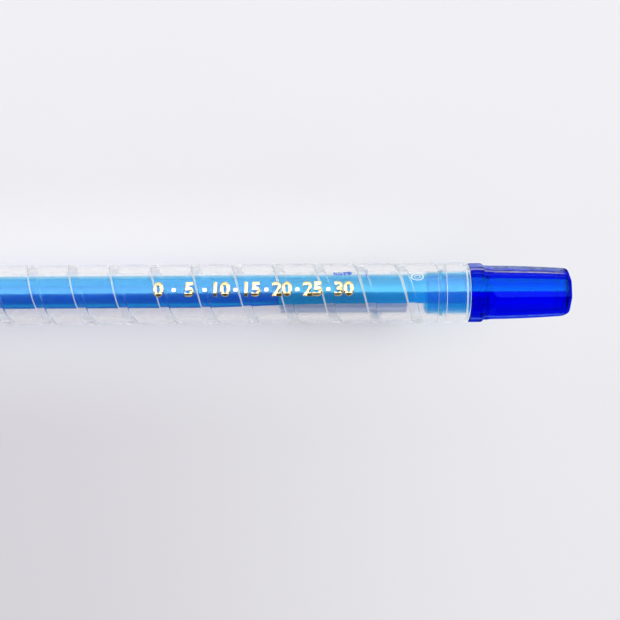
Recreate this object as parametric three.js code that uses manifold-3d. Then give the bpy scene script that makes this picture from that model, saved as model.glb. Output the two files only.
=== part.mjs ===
// A twist-up marking stick with a 3 mm water-soluble lead, lying on its side along X.
// Turning the tail knob turns a slotted tube, and the lug of the lead carrier, which reaches out through the
// slot into the helical groove inside the clear barrel, winds the carrier and its lead forward.
// Millimetres, +X towards the knob, +Z up, origin under the middle of the part on the surface it lies on.
import * as THREE from "three";
import { mergeVertices } from "three/addons/utils/BufferGeometryUtils.js";
import Module from "manifold-3d";

const wasm = await Module();
wasm.setup();

// Clearances between neighbouring pieces
const RUNNING_GAP = 0.15;
const PRESS_GAP = 0.06;
const THREAD_GAP = 0.3;

// Lengths along the axis
const NOSE_LENGTH = 13;
const BARREL_LENGTH = 118.3;
const FLANGE_LENGTH = 2.3;
const GRIP_LENGTH = 14.25;

// Clear barrel
const BARREL_RADIUS = 5;
const RIM_FLARE = 0.08;
const RIM_FLARE_LENGTH = 6;
const BARREL_EDGE = 0.25;
const BORE_RADIUS = 3.65;
const BORE_CHAMFER = 0.3;

// Helical groove in the bore, right-handed
const HELIX_PITCH = 6.75;
const GROOVE_WIDTH = 1.5;
const GROOVE_DEPTH = 0.75;

// Snap rings that hold the nose and the turning sleeve in the barrel
const SNAP_INSET = 4.5;
const SNAP_GROOVE_WIDTH = 1.4;
const SNAP_GROOVE_DEPTH = 0.5;
const SNAP_BEAD_HEIGHT = 0.32;
const SNAP_BEAD_WIDTH = 0.8;
const NOSE_SNAP_INSET = 3;

// Nose cone
const NOSE_TIP_RADIUS = 2.35;
const NOSE_SHOULDER_RADIUS = 4.9;
const NOSE_BULGE = 0.28;
const NOSE_SPIGOT_LENGTH = 5;
const NOSE_WALL = 1.1;
const NOSE_MOUTH_LENGTH = 4;
const MOUTH_EDGE = 0.3;

// Slotted tube
const TUBE_RADIUS = 3.1;
const TUBE_WALL = 0.5;
const TUBE_COLLAR_LENGTH = 2.5;
const COLLAR_LEAD_GAP = 0.5;
const SLOT_HALF_ANGLE = 45;
const SLOT_MOUTH_HALF_ANGLE = 57;
const SLOT_FLARE_START = 44;
const SLOT_FLARE_LENGTH = 24;

// Drive sleeve, which joins the slotted tube to the knob
const SLEEVE_LENGTH = 7;
const SLEEVE_SEAT_DEPTH = 5.4;
const SLEEVE_EDGE = 0.3;
const SLEEVE_BORE_RADIUS = 1.6;
const SPIGOT_LENGTH = 4.5;
const SPIGOT_CORNER_RADIUS = 3.05;

// Tail knob, a round flange with an eight-sided grip
const FLANGE_RADIUS = 4.9;
const FLANGE_EDGE = 0.55;
const GRIP_ROOT_RADIUS = 4.56;
const GRIP_DROP = 0.75;
const GRIP_FACETS = 8;
const GRIP_TURN = 16;
const GRIP_EDGE_HALF_ANGLE = 5;
const GRIP_RUN_OUT = 1.6;
const GRIP_END_FILLET = 0.9;
const KNOB_END_WALL = 1.25;
const KNOB_WALL = 1.3;

// Lead and its carrier
const LEAD_RADIUS = 1.5;
const LEAD_TIP_INSET = 0.6;
const LEAD_TIP_CHAMFER = 0.25;
const LEAD_SEAT_DEPTH = 15;
const CARRIER_LENGTH = 21.3;
const CARRIER_TO_SLEEVE = 3;
const CARRIER_EDGE = 0.3;
const KEY_HALF_ANGLE = 36;
const KEY_RADIUS = 3.2;
const LUG_TO_CARRIER_REAR = 5.3;
const LUG_HALF_ANGLE = 14;
const STOP_GAP = 0.3;

// Flats round a turned piece. Their count divides by four, so that one lies level at the bottom.
const SIDES = 36;
const STEP = (2 * Math.PI) / SIDES;
const SLOT_DIRECTION = Math.PI;

// Places along the axis, from the tip of the nose to the end of the knob
const TOTAL_LENGTH = NOSE_LENGTH + BARREL_LENGTH + RUNNING_GAP + FLANGE_LENGTH + GRIP_LENGTH;
const TIP_X = -TOTAL_LENGTH / 2;
const BARREL_FRONT_X = TIP_X + NOSE_LENGTH;
const BARREL_REAR_X = BARREL_FRONT_X + BARREL_LENGTH;
const KNOB_FRONT_X = BARREL_REAR_X + RUNNING_GAP;
const GRIP_FRONT_X = KNOB_FRONT_X + FLANGE_LENGTH;
const KNOB_END_X = GRIP_FRONT_X + GRIP_LENGTH;
const SNAP_X = BARREL_REAR_X - SNAP_INSET;
const NOSE_SNAP_X = BARREL_FRONT_X + NOSE_SNAP_INSET;
const SLEEVE_FRONT_X = BARREL_REAR_X - SLEEVE_LENGTH;
const SLEEVE_REAR_X = KNOB_FRONT_X - PRESS_GAP;
const TUBE_FRONT_X = BARREL_FRONT_X + NOSE_SPIGOT_LENGTH + 2 * RUNNING_GAP;
const TUBE_REAR_X = SLEEVE_FRONT_X + SLEEVE_SEAT_DEPTH - PRESS_GAP;
const SLOT_FRONT_X = TUBE_FRONT_X + TUBE_COLLAR_LENGTH;
const CARRIER_REAR_X = SLEEVE_FRONT_X - CARRIER_TO_SLEEVE;
const CARRIER_FRONT_X = CARRIER_REAR_X - CARRIER_LENGTH;
const LUG_X = CARRIER_REAR_X - LUG_TO_CARRIER_REAR;
const LEAD_TRAVEL = CARRIER_FRONT_X - SLOT_FRONT_X - STOP_GAP;
const KNOB_TURNS = LEAD_TRAVEL / HELIX_PITCH;

// Radii that follow from the fits
const GROOVE_RADIUS = BORE_RADIUS + GROOVE_DEPTH;
const RIM_RADIUS = BARREL_RADIUS + RIM_FLARE;
const SLEEVE_RADIUS = BORE_RADIUS - RUNNING_GAP;
const SNAP_GROOVE_RADIUS = BORE_RADIUS + SNAP_GROOVE_DEPTH;
const TUBE_BORE_RADIUS = TUBE_RADIUS - TUBE_WALL;
const CARRIER_RADIUS = TUBE_BORE_RADIUS - RUNNING_GAP;
const LUG_RADIUS = GROOVE_RADIUS - THREAD_GAP;

// Turns a mesh's geometry into a solid that can be joined and cut.
function solidOf(geometry) {
  const bare = geometry.index ? geometry.toNonIndexed() : geometry.clone();
  bare.deleteAttribute("normal");
  bare.deleteAttribute("uv");
  const merged = mergeVertices(bare, 1e-4);
  return new wasm.Manifold(
    new wasm.Mesh({
      numProp: 3,
      vertProperties: merged.attributes.position.array,
      triVerts: new Uint32Array(merged.index.array),
    }),
  );
}

// Turns a joined or cut solid back into geometry with flat faces.
function geometryOf(solid) {
  const { vertProperties, triVerts } = solid.getMesh();
  const geometry = new THREE.BufferGeometry();
  geometry.setAttribute("position", new THREE.BufferAttribute(vertProperties, 3));
  geometry.setIndex(new THREE.BufferAttribute(triVerts, 1));
  const faceted = geometry.toNonIndexed();
  faceted.computeVertexNormals();
  return faceted;
}

// A solid of revolution about X. The profile is a closed list of [x, radius] with the metal on its left.
// Its flats, not its corners, lie at the stated radii.
function turned(profile) {
  const closed = [...profile, profile[0]];
  const points = closed.map(([x, radius]) => new THREE.Vector2(radius / Math.cos(STEP / 2), x));
  return solidOf(new THREE.LatheGeometry(points, SIDES, STEP / 2).rotateZ(-Math.PI / 2));
}

// A solid with one outline at each station along X. Every outline has as many [y, z] points, anticlockwise
// about +X.
function lofted(stations) {
  const count = stations[0].outline.length;
  const positions = [];
  const indices = [];
  for (const { x, outline } of stations) {
    for (const [y, z] of outline) positions.push(x, y, z);
  }
  for (let i = 0; i + 1 < stations.length; i++) {
    for (let j = 0; j < count; j++) {
      const a = i * count + j;
      const b = i * count + ((j + 1) % count);
      indices.push(a, b, b + count, a, b + count, a + count);
    }
  }
  const last = (stations.length - 1) * count;
  const cap = (outline) => THREE.ShapeUtils.triangulateShape(outline.map((p) => new THREE.Vector2(...p)), []);
  for (const [a, b, c] of cap(stations[0].outline)) indices.push(c, b, a);
  for (const [a, b, c] of cap(stations.at(-1).outline)) indices.push(last + a, last + b, last + c);
  const geometry = new THREE.BufferGeometry();
  geometry.setAttribute("position", new THREE.Float32BufferAttribute(positions, 3));
  geometry.setIndex(indices);
  return solidOf(geometry);
}

// Points on an arc about the axis, as [y, z], from one angle to another in equal steps.
function arc(radius, from, to, steps) {
  return Array.from({ length: steps + 1 }, (_, i) => {
    const angle = from + ((to - from) * i) / steps;
    return [radius * Math.cos(angle), radius * Math.sin(angle)];
  });
}

// The outline of a sector of a ring, centred on the slot's direction.
function sectorOutline(inner, outer, halfAngle, steps) {
  const from = SLOT_DIRECTION - halfAngle;
  const to = SLOT_DIRECTION + halfAngle;
  return [...arc(outer, from, to, steps), ...arc(inner, to, from, steps)];
}

// The outline of an eight-sided piece. With roundness 1 it is a circle through the middle of the corners and flats.
function facetedOutline(cornerRadius, roundness) {
  const cell = (2 * Math.PI) / GRIP_FACETS;
  const edge = THREE.MathUtils.degToRad(GRIP_EDGE_HALF_ANGLE);
  const start = THREE.MathUtils.degToRad(GRIP_TURN);
  const circle = (cornerRadius * (1 + Math.cos(cell / 2))) / 2;
  const outline = [];
  for (let facet = 0; facet < GRIP_FACETS; facet++) {
    for (let k = 0; k < 5; k++) {
      const inCell = edge + ((cell - 2 * edge) * k) / 4;
      const flat = (cornerRadius * Math.cos(cell / 2)) / Math.cos(inCell - cell / 2);
      const radius = flat + (circle - flat) * roundness;
      const angle = start + facet * cell + inCell;
      outline.push([radius * Math.cos(angle), radius * Math.sin(angle)]);
    }
  }
  return outline;
}

// Where the helix stands along X at an angle about the axis.
function helixX(angle) {
  return LUG_X + (HELIX_PITCH * (angle - SLOT_DIRECTION)) / (2 * Math.PI);
}

// A band of rectangular section wound along the helix, for the groove and for the lug that runs in it.
function helicalBand(inner, outer, width, from, to, steps) {
  const stations = steps + 1;
  const positions = [];
  const indices = [];
  for (let i = 0; i < stations; i++) {
    const angle = from + ((to - from) * i) / steps;
    for (const [dx, radius] of [
      [-width / 2, inner],
      [-width / 2, outer],
      [width / 2, outer],
      [width / 2, inner],
    ]) {
      positions.push(helixX(angle) + dx, radius * Math.cos(angle), radius * Math.sin(angle));
    }
  }
  for (let i = 0; i + 1 < stations; i++) {
    for (let j = 0; j < 4; j++) {
      const a = 4 * i + j;
      const b = 4 * i + ((j + 1) % 4);
      indices.push(a, a + 4, b + 4, a, b + 4, b);
    }
  }
  const last = 4 * (stations - 1);
  indices.push(0, 1, 2, 0, 2, 3, last, last + 2, last + 1, last, last + 3, last + 2);
  const geometry = new THREE.BufferGeometry();
  geometry.setAttribute("position", new THREE.Float32BufferAttribute(positions, 3));
  geometry.setIndex(indices);
  return solidOf(geometry);
}

// A raised snap ring's profile points on a shaft of a given radius, from front to rear.
function beadProfile(x, shaft) {
  const crest = shaft + SNAP_BEAD_HEIGHT;
  return [
    [x - SNAP_BEAD_WIDTH / 2, shaft],
    [x - SNAP_BEAD_WIDTH / 6, crest],
    [x + SNAP_BEAD_WIDTH / 6, crest],
    [x + SNAP_BEAD_WIDTH / 2, shaft],
  ];
}

// An annular groove's profile points in the bore, from rear to front.
function snapGrooveProfile(x) {
  return [
    [x + SNAP_GROOVE_WIDTH / 2, BORE_RADIUS],
    [x + SNAP_GROOVE_WIDTH / 2, SNAP_GROOVE_RADIUS],
    [x - SNAP_GROOVE_WIDTH / 2, SNAP_GROOVE_RADIUS],
    [x - SNAP_GROOVE_WIDTH / 2, BORE_RADIUS],
  ];
}

// Clear outer tube, with the helical groove running out into the rear snap groove.
function barrel() {
  const tube = turned([
    [BARREL_FRONT_X, BARREL_RADIUS - BARREL_EDGE],
    [BARREL_FRONT_X + BARREL_EDGE, BARREL_RADIUS],
    [BARREL_REAR_X - RIM_FLARE_LENGTH, BARREL_RADIUS],
    [BARREL_REAR_X - BARREL_EDGE, RIM_RADIUS],
    [BARREL_REAR_X, RIM_RADIUS - BARREL_EDGE],
    [BARREL_REAR_X, BORE_RADIUS + BORE_CHAMFER],
    [BARREL_REAR_X - BORE_CHAMFER, BORE_RADIUS],
    ...snapGrooveProfile(SNAP_X),
    ...snapGrooveProfile(NOSE_SNAP_X),
    [BARREL_FRONT_X + BORE_CHAMFER, BORE_RADIUS],
    [BARREL_FRONT_X, BORE_RADIUS + BORE_CHAMFER],
  ]);
  const lugSweep = THREE.MathUtils.degToRad(LUG_HALF_ANGLE) + (2 * THREAD_GAP) / GROOVE_RADIUS;
  const firstAngle = SLOT_DIRECTION - KNOB_TURNS * 2 * Math.PI - lugSweep;
  const lastAngle = SLOT_DIRECTION + ((SNAP_X - LUG_X) / HELIX_PITCH) * 2 * Math.PI;
  const steps = Math.round((lastAngle - firstAngle) / STEP);
  const from = (Math.floor(firstAngle / STEP) + 0.5) * STEP;
  const outer = GROOVE_RADIUS / Math.cos(STEP / 2);
  const inner = BORE_RADIUS - GROOVE_DEPTH;
  return tube.subtract(helicalBand(inner, outer, GROOVE_WIDTH, from, from + steps * STEP, steps));
}

// Front cone, snapped into the barrel, with a long mouth that guides the lead.
function noseCone() {
  const mouth = LEAD_RADIUS + RUNNING_GAP + PRESS_GAP;
  const shoulderX = BARREL_FRONT_X - PRESS_GAP;
  const spigotRadius = BORE_RADIUS - PRESS_GAP;
  const spigotEndX = BARREL_FRONT_X + NOSE_SPIGOT_LENGTH;
  const slope = [0.25, 0.5, 0.75].map((share) => [
    TIP_X + MOUTH_EDGE + share * (shoulderX - TIP_X - MOUTH_EDGE),
    NOSE_TIP_RADIUS + share * (NOSE_SHOULDER_RADIUS - NOSE_TIP_RADIUS) + 4 * NOSE_BULGE * share * (1 - share),
  ]);
  return turned([
    [TIP_X, mouth + MOUTH_EDGE / 2],
    [TIP_X, NOSE_TIP_RADIUS - MOUTH_EDGE],
    [TIP_X + MOUTH_EDGE, NOSE_TIP_RADIUS],
    ...slope,
    [shoulderX, NOSE_SHOULDER_RADIUS],
    [shoulderX, spigotRadius],
    ...beadProfile(NOSE_SNAP_X, spigotRadius),
    [spigotEndX - BORE_CHAMFER, spigotRadius],
    [spigotEndX, spigotRadius - BORE_CHAMFER],
    [spigotEndX, spigotRadius - NOSE_WALL],
    [BARREL_FRONT_X, spigotRadius - NOSE_WALL],
    [TIP_X + NOSE_MOUTH_LENGTH, mouth],
    [TIP_X + MOUTH_EDGE, mouth],
  ]);
}

// Half the slot's opening angle at a place along the tube: it widens where the carrier is loaded.
function slotHalfAngle(x) {
  const share = THREE.MathUtils.clamp((x - TUBE_REAR_X + SLOT_FLARE_START) / SLOT_FLARE_LENGTH, 0, 1);
  return THREE.MathUtils.degToRad(THREE.MathUtils.lerp(SLOT_HALF_ANGLE, SLOT_MOUTH_HALF_ANGLE, share));
}

// Tube that is open along one side, closed into a bearing collar at its front end.
function slottedTube() {
  const steps = 27;
  const station = (x) => {
    const from = SLOT_DIRECTION + slotHalfAngle(x);
    const to = SLOT_DIRECTION + 2 * Math.PI - slotHalfAngle(x);
    return { x, outline: [...arc(TUBE_RADIUS, from, to, steps), ...arc(TUBE_BORE_RADIUS, to, from, steps)] };
  };
  const flareX = TUBE_REAR_X - SLOT_FLARE_START;
  const channel = lofted([
    station(TUBE_FRONT_X + TUBE_COLLAR_LENGTH / 2),
    station(flareX),
    station(flareX + SLOT_FLARE_LENGTH),
    station(TUBE_REAR_X),
  ]);
  const collar = turned([
    [TUBE_FRONT_X, SLEEVE_RADIUS - SLEEVE_EDGE],
    [TUBE_FRONT_X + SLEEVE_EDGE, SLEEVE_RADIUS],
    [SLOT_FRONT_X - SLEEVE_EDGE, SLEEVE_RADIUS],
    [SLOT_FRONT_X, (TUBE_RADIUS + SLEEVE_RADIUS) / 2],
    [SLOT_FRONT_X, LEAD_RADIUS + COLLAR_LEAD_GAP],
    [TUBE_FRONT_X, LEAD_RADIUS + COLLAR_LEAD_GAP],
  ]);
  return channel.add(collar);
}

// Sleeve that holds the slotted tube, snaps into the barrel and drives from the knob by its eight-sided spigot.
function driveSleeve() {
  const seat = TUBE_RADIUS + PRESS_GAP;
  const seatEndX = SLEEVE_FRONT_X + SLEEVE_SEAT_DEPTH;
  const spigotEndX = KNOB_FRONT_X + SPIGOT_LENGTH;
  const body = turned([
    [SLEEVE_FRONT_X, SLEEVE_RADIUS - SLEEVE_EDGE / 2],
    [SLEEVE_FRONT_X + SLEEVE_EDGE, SLEEVE_RADIUS],
    ...beadProfile(SNAP_X, SLEEVE_RADIUS),
    [SLEEVE_REAR_X, SLEEVE_RADIUS],
    [SLEEVE_REAR_X, 0],
    [SLEEVE_FRONT_X, 0],
  ]);
  const outline = facetedOutline(SPIGOT_CORNER_RADIUS, 0);
  const spigot = lofted([
    { x: (seatEndX + SLEEVE_REAR_X) / 2, outline },
    { x: spigotEndX, outline },
  ]);
  const bore = turned([
    [SLEEVE_FRONT_X - SLEEVE_EDGE, 0],
    [SLEEVE_FRONT_X - SLEEVE_EDGE, seat],
    [seatEndX, seat],
    [seatEndX, SLEEVE_BORE_RADIUS],
    [spigotEndX + SLEEVE_EDGE, SLEEVE_BORE_RADIUS],
    [spigotEndX + SLEEVE_EDGE, 0],
  ]);
  return body.add(spigot).subtract(bore);
}

// The grip's corner radius at a distance behind the flange: a slightly convex taper with a round end.
function gripRadius(distance) {
  const taper = GRIP_ROOT_RADIUS - GRIP_DROP * (distance / GRIP_LENGTH) ** 2;
  const intoFillet = Math.max(0, distance - (GRIP_LENGTH - GRIP_END_FILLET));
  return taper - GRIP_END_FILLET + Math.sqrt(Math.max(0, GRIP_END_FILLET ** 2 - intoFillet ** 2));
}

// Knob with a round flange, a faceted grip that runs out round at the flange, and a stepped eight-sided cavity.
function tailKnob() {
  const flange = turned([
    [KNOB_FRONT_X, 0],
    [KNOB_FRONT_X, FLANGE_RADIUS - BARREL_EDGE / 2],
    [KNOB_FRONT_X + BARREL_EDGE / 2, FLANGE_RADIUS],
    [GRIP_FRONT_X - FLANGE_EDGE, FLANGE_RADIUS],
    [GRIP_FRONT_X - FLANGE_EDGE / 3, FLANGE_RADIUS - FLANGE_EDGE / 3],
    [GRIP_FRONT_X, FLANGE_RADIUS - FLANGE_EDGE],
    [GRIP_FRONT_X, 0],
  ]);
  const filletStart = GRIP_LENGTH - GRIP_END_FILLET;
  const distances = [-FLANGE_LENGTH / 2, GRIP_RUN_OUT / 3, GRIP_RUN_OUT * 0.7, GRIP_RUN_OUT];
  for (const share of [0.25, 0.5, 0.75, 1]) {
    distances.push(GRIP_RUN_OUT + (filletStart - GRIP_RUN_OUT) * share);
  }
  for (const turn of [30, 55, 75, 90]) {
    distances.push(filletStart + GRIP_END_FILLET * Math.sin(THREE.MathUtils.degToRad(turn)));
  }
  const grip = lofted(
    distances.map((distance) => ({
      x: GRIP_FRONT_X + distance,
      outline: facetedOutline(
        gripRadius(Math.max(distance, 0)),
        1 - THREE.MathUtils.smoothstep(distance, GRIP_RUN_OUT / 3, GRIP_RUN_OUT),
      ),
    })),
  );
  const socketRadius = SPIGOT_CORNER_RADIUS + PRESS_GAP;
  const socketEndX = KNOB_FRONT_X + SPIGOT_LENGTH + PRESS_GAP;
  const cavityEndX = KNOB_END_X - KNOB_END_WALL;
  const socket = lofted([
    { x: KNOB_FRONT_X - RUNNING_GAP, outline: facetedOutline(socketRadius, 0) },
    { x: socketEndX, outline: facetedOutline(socketRadius, 0) },
  ]);
  const cavity = lofted([
    { x: socketEndX - SPIGOT_LENGTH / 2, outline: facetedOutline(socketRadius - RUNNING_GAP, 0) },
    { x: cavityEndX, outline: facetedOutline(gripRadius(GRIP_LENGTH - GRIP_END_FILLET) - KNOB_WALL, 0) },
  ]);
  return flange.add(grip).subtract(socket).subtract(cavity);
}

// Carrier that grips the lead's rear end, keyed in the slot, with one lug that fits the helical groove.
function leadCarrier() {
  const seat = LEAD_RADIUS + PRESS_GAP;
  const body = turned([
    [CARRIER_FRONT_X, CARRIER_RADIUS - CARRIER_EDGE],
    [CARRIER_FRONT_X + CARRIER_EDGE, CARRIER_RADIUS],
    [CARRIER_REAR_X - CARRIER_EDGE, CARRIER_RADIUS],
    [CARRIER_REAR_X, CARRIER_RADIUS - CARRIER_EDGE],
    [CARRIER_REAR_X, 0],
    [CARRIER_FRONT_X + LEAD_SEAT_DEPTH, 0],
    [CARRIER_FRONT_X + LEAD_SEAT_DEPTH, seat],
    [CARRIER_FRONT_X, seat],
  ]);
  const keyOutline = sectorOutline(
    (seat + CARRIER_RADIUS) / 2,
    KEY_RADIUS,
    THREE.MathUtils.degToRad(KEY_HALF_ANGLE),
    8,
  );
  const key = lofted([
    { x: CARRIER_FRONT_X + CARRIER_EDGE, outline: keyOutline },
    { x: CARRIER_REAR_X - CARRIER_EDGE, outline: keyOutline },
  ]);
  const sweep = THREE.MathUtils.degToRad(LUG_HALF_ANGLE);
  const lug = helicalBand(
    CARRIER_RADIUS,
    LUG_RADIUS,
    GROOVE_WIDTH - 2 * THREAD_GAP,
    SLOT_DIRECTION - sweep,
    SLOT_DIRECTION + sweep,
    4,
  );
  return body.add(key).add(lug);
}

// Lead, a plain stick from its seat in the carrier to just inside the nose's mouth.
function lead() {
  const frontX = TIP_X + LEAD_TIP_INSET;
  const rearX = CARRIER_FRONT_X + LEAD_SEAT_DEPTH - PRESS_GAP;
  return turned([
    [frontX, 0],
    [frontX, LEAD_RADIUS - LEAD_TIP_CHAMFER],
    [frontX + LEAD_TIP_CHAMFER, LEAD_RADIUS],
    [rearX, LEAD_RADIUS],
    [rearX, 0],
  ]);
}

function material(color, roughness, opacity = 1) {
  return new THREE.MeshStandardMaterial({ color, roughness, metalness: 0, opacity, transparent: opacity < 1 });
}

function piece(name, solid, finish) {
  const mesh = new THREE.Mesh(geometryOf(solid), finish);
  mesh.name = name;
  return mesh;
}

const clearPlastic = material(0xe6e9f0, 0.12, 0.35);
const knobPlastic = material(0x0438d8, 0.15, 0.9);
const tubePlastic = material(0x3aa4ea, 0.3, 0.75);
const carrierPlastic = material(0xb4c2d6, 0.45, 0.95);
const leadWax = material(0x0e3fae, 0.7);

const body = new THREE.Group();
body.add(piece("barrel", barrel(), clearPlastic), piece("nose_cone", noseCone(), knobPlastic));

const carriage = new THREE.Group();
carriage.add(piece("lead_carrier", leadCarrier(), carrierPlastic), piece("lead", lead(), leadWax));

const rotor = new THREE.Group();
rotor.add(
  piece("slotted_tube", slottedTube(), tubePlastic),
  piece("drive_sleeve", driveSleeve(), tubePlastic),
  piece("tail_knob", tailKnob(), knobPlastic),
  carriage,
);

const marker = new THREE.Group();
marker.add(body, rotor);
marker.position.z = RIM_RADIUS;

export default marker;
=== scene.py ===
"""Looks of a twist-up water-soluble marking stick on a white table, seen from straight above.

Lengths are in millimetres until a mesh is written. X runs from the lead's tip to the tail knob. Angles are
about the axis, from +Y towards +Z, so 90 degrees is straight up and the turning tube's slot faces 180.
"""

import logging
import math
from dataclasses import dataclass, field, replace
from enum import Enum

import bmesh
import bpy
import numpy as np
from bpy.types import Material, Mesh, Node, NodeSocket, NodeTree, Object
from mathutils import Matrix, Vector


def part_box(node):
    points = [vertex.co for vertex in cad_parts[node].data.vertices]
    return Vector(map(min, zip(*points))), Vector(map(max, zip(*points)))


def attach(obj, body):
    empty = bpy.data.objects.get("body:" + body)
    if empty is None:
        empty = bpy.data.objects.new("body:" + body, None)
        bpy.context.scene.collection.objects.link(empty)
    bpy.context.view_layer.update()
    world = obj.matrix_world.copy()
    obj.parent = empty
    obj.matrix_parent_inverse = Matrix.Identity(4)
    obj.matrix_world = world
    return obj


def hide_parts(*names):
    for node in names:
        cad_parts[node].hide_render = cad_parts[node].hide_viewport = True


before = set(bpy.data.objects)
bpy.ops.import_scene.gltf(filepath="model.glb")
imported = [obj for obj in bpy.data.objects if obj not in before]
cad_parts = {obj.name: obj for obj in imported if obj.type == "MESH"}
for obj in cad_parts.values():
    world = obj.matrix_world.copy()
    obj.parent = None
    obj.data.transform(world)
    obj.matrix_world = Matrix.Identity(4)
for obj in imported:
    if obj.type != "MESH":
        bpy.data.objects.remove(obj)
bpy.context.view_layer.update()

log = logging.getLogger("marking_stick")

MM = 0.001
TURN = 2 * math.pi
SIDES = 144
WELD = 2e-7
PICTURE_SIDE = 620
AXIS_HEIGHT = sum(corner[2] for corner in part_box("barrel")) / 2 / MM

Colour = tuple[float, float, float, float]
Array = np.ndarray
Source = Node | NodeSocket
Pair = tuple[float, float]
Row = tuple[float, ...]


class Body(Enum):
    """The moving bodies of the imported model."""

    BARREL = "barrel_body"
    ROTOR = "rotor"
    CARRIAGE = "carriage"


class Slot(Enum):
    """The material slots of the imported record."""

    CLEAR = "clear_plastic"
    BLUE = "blue_plastic"
    TUBE = "tube_plastic"
    NATURAL = "natural_plastic"
    LEAD = "lead_wax"


# Numbers and curves


def linear(hex_colour: str) -> Colour:
    """Turns an sRGB hex colour into linear RGBA.

    Args:
        hex_colour: A colour such as "#27BFF7".

    Returns:
        Linear red, green and blue, and 1 for alpha.
    """
    coded = np.array([int(hex_colour[i : i + 2], 16) for i in (1, 3, 5)]) / 255.0
    light = np.where(coded <= 0.04045, coded / 12.92, ((coded + 0.055) / 1.055) ** 2.4)
    return (*light.tolist(), 1.0)


def smoothstep(low: float, high: float, value: Array) -> Array:
    """Gives 3t^2 - 2t^3, where t is the value's share of the way from low to high, kept to 0 and 1."""
    share = np.clip((value - low) / (high - low), 0.0, 1.0)
    return share * share * (3.0 - 2.0 * share)


def soften(corners: list[Row], reach: float, steps: int = 4, closed: bool = False) -> Array:
    """Rounds a profile's corners.

    Corner C becomes the curve (1-t)^2 A + 2t(1-t) C + t^2 B, with A and B on the lines to its neighbours.

    Args:
        corners: The profile's corners, as (x, radius) or (x, radius, facet weight).
        reach: How far from a corner its rounding starts.
        steps: Edges in each rounding.
        closed: Whether the last corner joins the first one.

    Returns:
        The rounded profile, one row per point.
    """
    points = np.array(corners, dtype=float)
    ends = []
    for shift in (1, -1):
        way = np.roll(points, shift, axis=0) - points
        length = np.maximum(np.linalg.norm(way[:, :2], axis=1, keepdims=True), 1e-9)
        ends.append((points + way * np.minimum(reach / length, 0.45))[:, None])
    t = np.linspace(0.0, 1.0, steps + 1)[None, :, None]
    curves = (1 - t) ** 2 * ends[0] + 2 * t * (1 - t) * points[:, None] + t**2 * ends[1]
    rounded = curves.reshape(-1, points.shape[1])
    if closed:
        return rounded
    return np.concatenate([points[:1], rounded[steps + 1 : -(steps + 1)], points[-1:]])


@dataclass(frozen=True)
class Facets:
    """An even polygon with slightly rounded corners, as a factor on a piece's mean radius."""

    count: int = 8
    turn: float = math.radians(16)
    softness: float = math.radians(3.5)

    def mean_share(self) -> float:
        """Gives the mean radius over the corner's: half of 1 and the cosine of half a cell."""
        return (1 + math.cos(math.pi / self.count)) / 2

    def factor(self, angles: Array) -> Array:
        """Gives the polygon's radius over its mean radius.

        With half a cell c it is cos(c) / cos(d) at the angle d from a flat's middle. The angle from a corner
        is the root of its square plus softness squared, which rounds the corner.

        Args:
            angles: Angles about the axis.

        Returns:
            One factor for each angle.
        """
        half = math.pi / self.count
        from_corner = np.mod(angles - self.turn + half, 2 * half) - half
        blunt = np.sqrt(from_corner**2 + self.softness**2)
        return math.cos(half) / np.cos(half - blunt) / self.mean_share()


def round_angles(start: float = 0.0) -> Array:
    """Gives even angles round the axis, one for each side of a turned piece."""
    return start + np.arange(SIDES) * (TURN / SIDES)


def about_axis(x: Array, radius: Array, angle: Array) -> Array:
    """Gives the points (x, r cos a, r sin a), with the three arrays spread to one shape."""
    return np.stack(np.broadcast_arrays(x, radius * np.cos(angle), radius * np.sin(angle)), axis=-1)


def around(profile: Array, facets: Facets | None = None) -> Array:
    """Carries a profile round the axis.

    The radius at angle a is the profile's times 1 + w (f(a) - 1), with the facets' factor f and weight w.

    Args:
        profile: Rows of (x, radius) or (x, radius, facet weight).
        facets: The polygon that the weight calls for.

    Returns:
        Points by station and angle.
    """
    angles = round_angles(facets.turn if facets else 0.0)
    radius = profile[:, 1:2]
    if facets is not None:
        radius = radius * (1 + profile[:, 2:3] * (facets.factor(angles)[None] - 1))
    return about_axis(profile[:, 0:1], radius, angles)


def bent_plate(
    loop: Array, middle: float, half_angle: Array, lip: float, steps: int, lead: float = 0.0
) -> Array:
    """Sweeps a closed loop in the (x, radius) plane round part of a turn.

    At sweep angle a, x grows by lead (a - middle) / 2 pi. Near both ends of the sweep r closes on the loop's
    middle radius as the sine of a quarter turn, which gives a round lip.

    Args:
        loop: Rows of (x, radius) of a closed loop.
        middle: The sweep's middle angle.
        half_angle: Half of the sweep, one value for each row of the loop.
        lip: Length of the round lip.
        steps: Steps between the lips.
        lead: How far the plate moves along X in one turn.

    Returns:
        Points by sweep angle and place in the loop.
    """
    along, radius = loop[:, 0], loop[:, 1]
    mean = (radius.max() + radius.min()) / 2
    quarter = np.linspace(0, math.pi / 2, 6)
    inset = lip * (1 - np.cos(quarter)) / mean
    inner = np.linspace(0, 1, steps + 1)[1:-1, None]
    left = -half_angle[None] + inset[:, None]
    right = (half_angle[None] - inset[:, None])[::-1]
    between = left[-1:] + (right[:1] - left[-1:]) * inner
    sweep = middle + np.concatenate([left, between, right])
    closing = np.concatenate([np.sin(quarter), np.ones(steps - 1), np.sin(quarter)[::-1]])[:, None]
    x = along[None] + lead * (sweep - middle) / TURN
    return about_axis(x, mean + (radius[None] - mean) * closing, sweep)


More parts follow.
